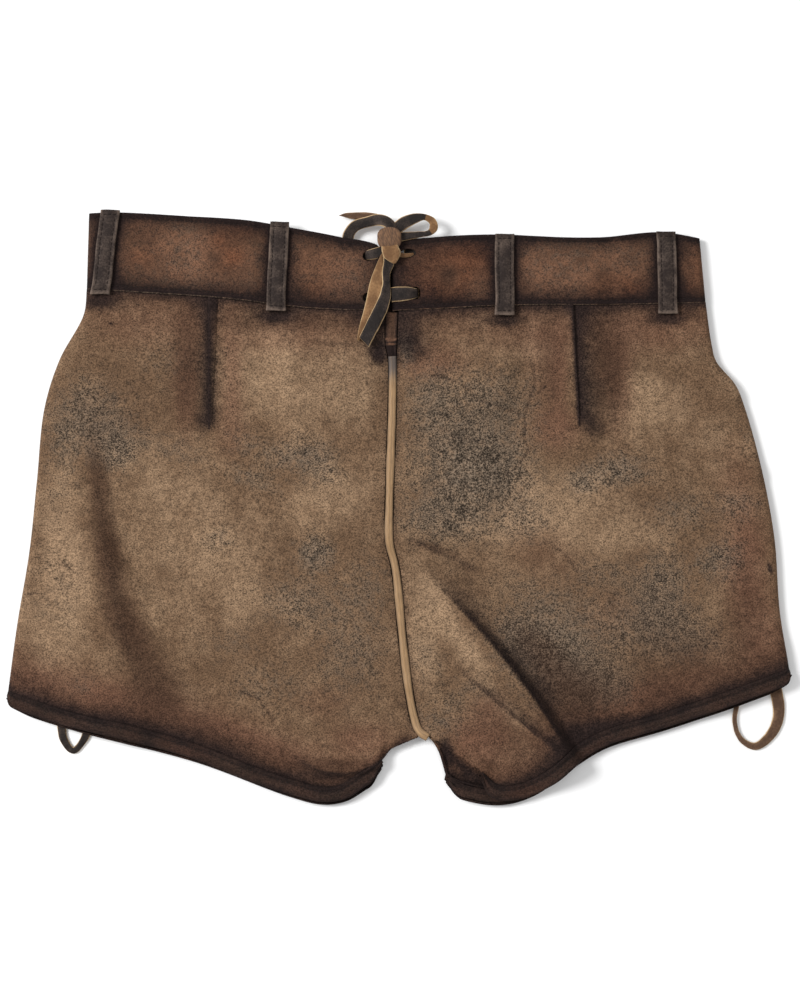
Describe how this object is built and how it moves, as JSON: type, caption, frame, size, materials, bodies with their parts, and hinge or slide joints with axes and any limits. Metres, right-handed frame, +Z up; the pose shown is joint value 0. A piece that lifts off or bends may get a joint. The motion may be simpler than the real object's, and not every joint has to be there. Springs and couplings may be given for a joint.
{
  "type": "lederhosen",
  "caption": "Short suede lederhosen lying flat with the back uppermost, laced at the centre back, with belt loops, waist darts, a welted seat seam and double hems.",
  "frame": {"origin": "on the surface the garment lies on, under the middle of its leather outline (the laces left out)", "axes": "+X to the viewer's right along the waistband with the back facing up, +Y from the hems to the waist, +Z up from the surface and out of the back"},
  "size_m": [0.519, 0.3938, 0.0211],
  "materials": {
    "suede": "worn brown suede with a short nap",
    "dark_suede": "suede darkened by wear, doubled and stitched",
    "gusset_suede": "suede",
    "welt_leather": "smooth tan leather, folded",
    "loop_leather": "dark leather with paler worn edges",
    "lace_leather": "cut leather lace, dark on the grain side and tan on the flesh side",
    "horn": "turned horn, dull polish"
  },
  "bodies": {
    "root": {"back_left": "suede", "back_right": "suede", "front_left": "suede", "front_right": "suede", "front_flap": "suede", "dart_left": "suede", "dart_right": "suede", "waistband_left": "dark_suede", "waistband_right": "dark_suede", "hem_left": "dark_suede", "hem_right": "dark_suede", "gusset_back": "gusset_suede", "welt_back": "welt_leather", "loop_back_1": "loop_leather", "loop_back_2": "loop_leather", "loop_back_3": "loop_leather", "loop_back_4": "loop_leather", "loop_front_left": "loop_leather", "loop_front_right": "loop_leather", "button_waist": "horn", "button_flap_left": "horn", "button_flap_right": "horn", "lace_arch": "lace_leather", "lace_tip": "lace_leather", "lace_bow": "lace_leather", "lace_tail_dark": "lace_leather", "lace_tail_pale": "lace_leather", "lace_cross_lower": "lace_leather", "lace_cross_upper": "lace_leather", "lace_knot_end": "lace_leather", "lace_knot": "lace_leather", "leg_lace_left": "lace_leather", "leg_lace_left_end": "lace_leather", "leg_lace_right": "lace_leather"}
  },
  "joints": []
}
